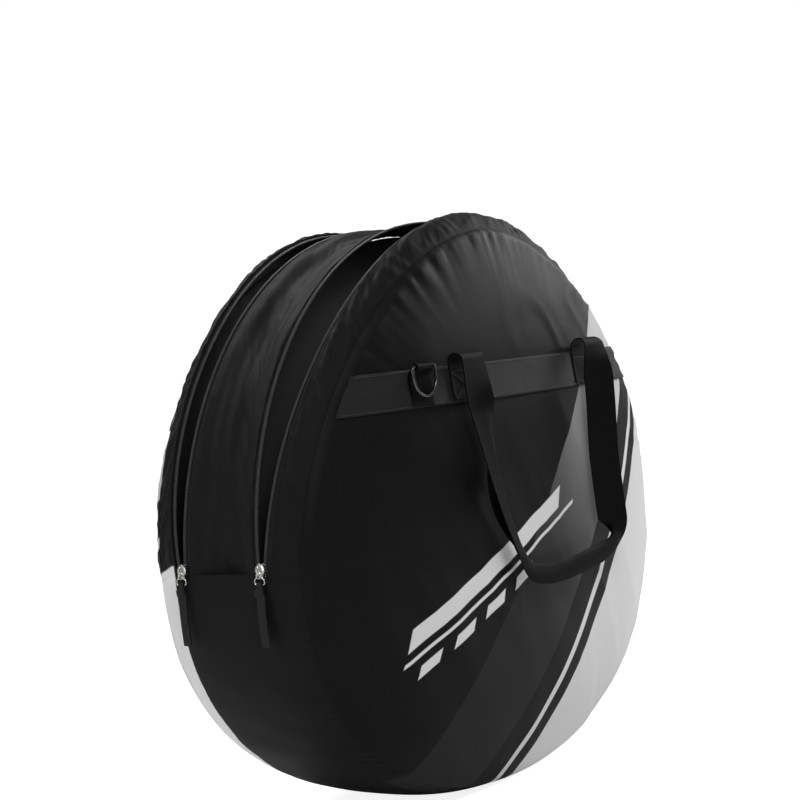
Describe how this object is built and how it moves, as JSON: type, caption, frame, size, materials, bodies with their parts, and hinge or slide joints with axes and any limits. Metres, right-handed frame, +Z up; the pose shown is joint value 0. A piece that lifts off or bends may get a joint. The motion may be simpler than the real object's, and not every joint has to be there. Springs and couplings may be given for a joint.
{
  "type": "bike wheel bag",
  "caption": "Padded bag for two bike wheels, standing with both zipped compartments open, with webbing bands, carry handles and strap rings.",
  "frame": {"origin": "centre of the base, on the surface that the bag stands on", "axes": "+Z up; +X along the bag's width, the zips start at -X; -Y is the front face with the handle that the picture shows"},
  "size_m": [0.7205, 0.353, 0.6361],
  "materials": {
    "panel_cloth": "black coated polyester with grey and white printed diagonal blocks",
    "bag_cloth": "black coated polyester weave",
    "lining": "dark nylon lining over foam",
    "webbing": "black ribbed webbing",
    "zip_tape": "black woven tape",
    "zip_coil": "grey nylon coil",
    "nickel": "nickel plated zinc",
    "dark_steel": "black nickel plated steel",
    "hub_guard": "black sheet",
    "pull_tag": "black woven ribbon"
  },
  "bodies": {
    "root": {"centre_gusset": "bag_cloth", "bottom_gusset": "bag_cloth", "divider": "lining", "front_lower_panel": "panel_cloth", "front_inner_zip_tape": "zip_tape", "front_inner_zip_coil": "zip_coil", "front_divider_hub_guard": "hub_guard", "back_lower_panel": "panel_cloth", "back_inner_zip_tape": "zip_tape", "back_inner_zip_coil": "zip_coil", "back_divider_hub_guard": "hub_guard"},
    "front_flap": {"front_upper_panel": "panel_cloth", "front_gusset_strip": "bag_cloth", "front_outer_zip_tape": "zip_tape", "front_outer_zip_coil": "zip_coil", "front_panel_hub_guard": "hub_guard", "front_webbing_band": "webbing", "front_handle_anchor_left": "webbing", "front_handle_anchor_right": "webbing", "front_d_ring_tab": "webbing"},
    "front_slider": {"front_zip_slider": "nickel"},
    "front_pull": {"front_pull_ring": "nickel"},
    "front_tag": {"front_pull_tag": "pull_tag"},
    "front_handle": {"front_handle_strap": "webbing"},
    "front_ring": {"front_d_ring": "dark_steel"},
    "back_flap": {"back_upper_panel": "panel_cloth", "back_gusset_strip": "bag_cloth", "back_outer_zip_tape": "zip_tape", "back_outer_zip_coil": "zip_coil", "back_panel_hub_guard": "hub_guard", "back_webbing_band": "webbing", "back_handle_anchor_left": "webbing", "back_handle_anchor_right": "webbing", "back_d_ring_tab": "webbing"},
    "back_slider": {"back_zip_slider": "nickel"},
    "back_pull": {"back_pull_ring": "nickel"},
    "back_tag": {"back_pull_tag": "pull_tag"},
    "back_handle": {"back_handle_strap": "webbing"},
    "back_ring": {"back_d_ring": "dark_steel"}
  },
  "joints": [
    {"name": "front_flap_fold", "type": "hinge", "parent": "root", "child": "front_flap", "pos_m": [0, -0.15082, 0.204], "axis": [1, 0, 0], "range_deg": [0, 90]},
    {"name": "front_slider_travel", "type": "hinge", "parent": "root", "child": "front_slider", "pos_m": [0, -0.052, 0.275], "axis": [0, 1, 0], "range_deg": [0, 175.67]},
    {"name": "front_pull_swing", "type": "hinge", "parent": "front_slider", "child": "front_pull", "pos_m": [-0.35913, -0.052, 0.28631], "axis": [0, 1, 0], "range_deg": [0, 135]},
    {"name": "front_tag_swing", "type": "hinge", "parent": "front_pull", "child": "front_tag", "pos_m": [-0.35913, -0.052, 0.27521], "axis": [0, 1, 0], "range_deg": [0, 50]},
    {"name": "front_handle_swing", "type": "hinge", "parent": "front_flap", "child": "front_handle", "pos_m": [0, -0.15714, 0.472], "axis": [-1, 0, 0], "range_deg": [0, 150]},
    {"name": "front_d_ring_swing", "type": "hinge", "parent": "front_flap", "child": "front_ring", "pos_m": [-0.181, -0.14606, 0.47], "axis": [-1, 0, 0], "range_deg": [0, 130]},
    {"name": "back_flap_fold", "type": "hinge", "parent": "root", "child": "back_flap", "pos_m": [0, 0.15082, 0.204], "axis": [-1, 0, 0], "range_deg": [0, 90]},
    {"name": "back_slider_travel", "type": "hinge", "parent": "root", "child": "back_slider", "pos_m": [0, 0.052, 0.275], "axis": [0, 1, 0], "range_deg": [0, 175.67]},
    {"name": "back_pull_swing", "type": "hinge", "parent": "back_slider", "child": "back_pull", "pos_m": [-0.35913, 0.052, 0.28631], "axis": [0, 1, 0], "range_deg": [0, 135]},
    {"name": "back_tag_swing", "type": "hinge", "parent": "back_pull", "child": "back_tag", "pos_m": [-0.35913, 0.052, 0.27521], "axis": [0, 1, 0], "range_deg": [0, 50]},
    {"name": "back_handle_swing", "type": "hinge", "parent": "back_flap", "child": "back_handle", "pos_m": [0, 0.15714, 0.472], "axis": [1, 0, 0], "range_deg": [0, 150]},
    {"name": "back_d_ring_swing", "type": "hinge", "parent": "back_flap", "child": "back_ring", "pos_m": [-0.181, 0.14606, 0.47], "axis": [1, 0, 0], "range_deg": [0, 130]}
  ]
}
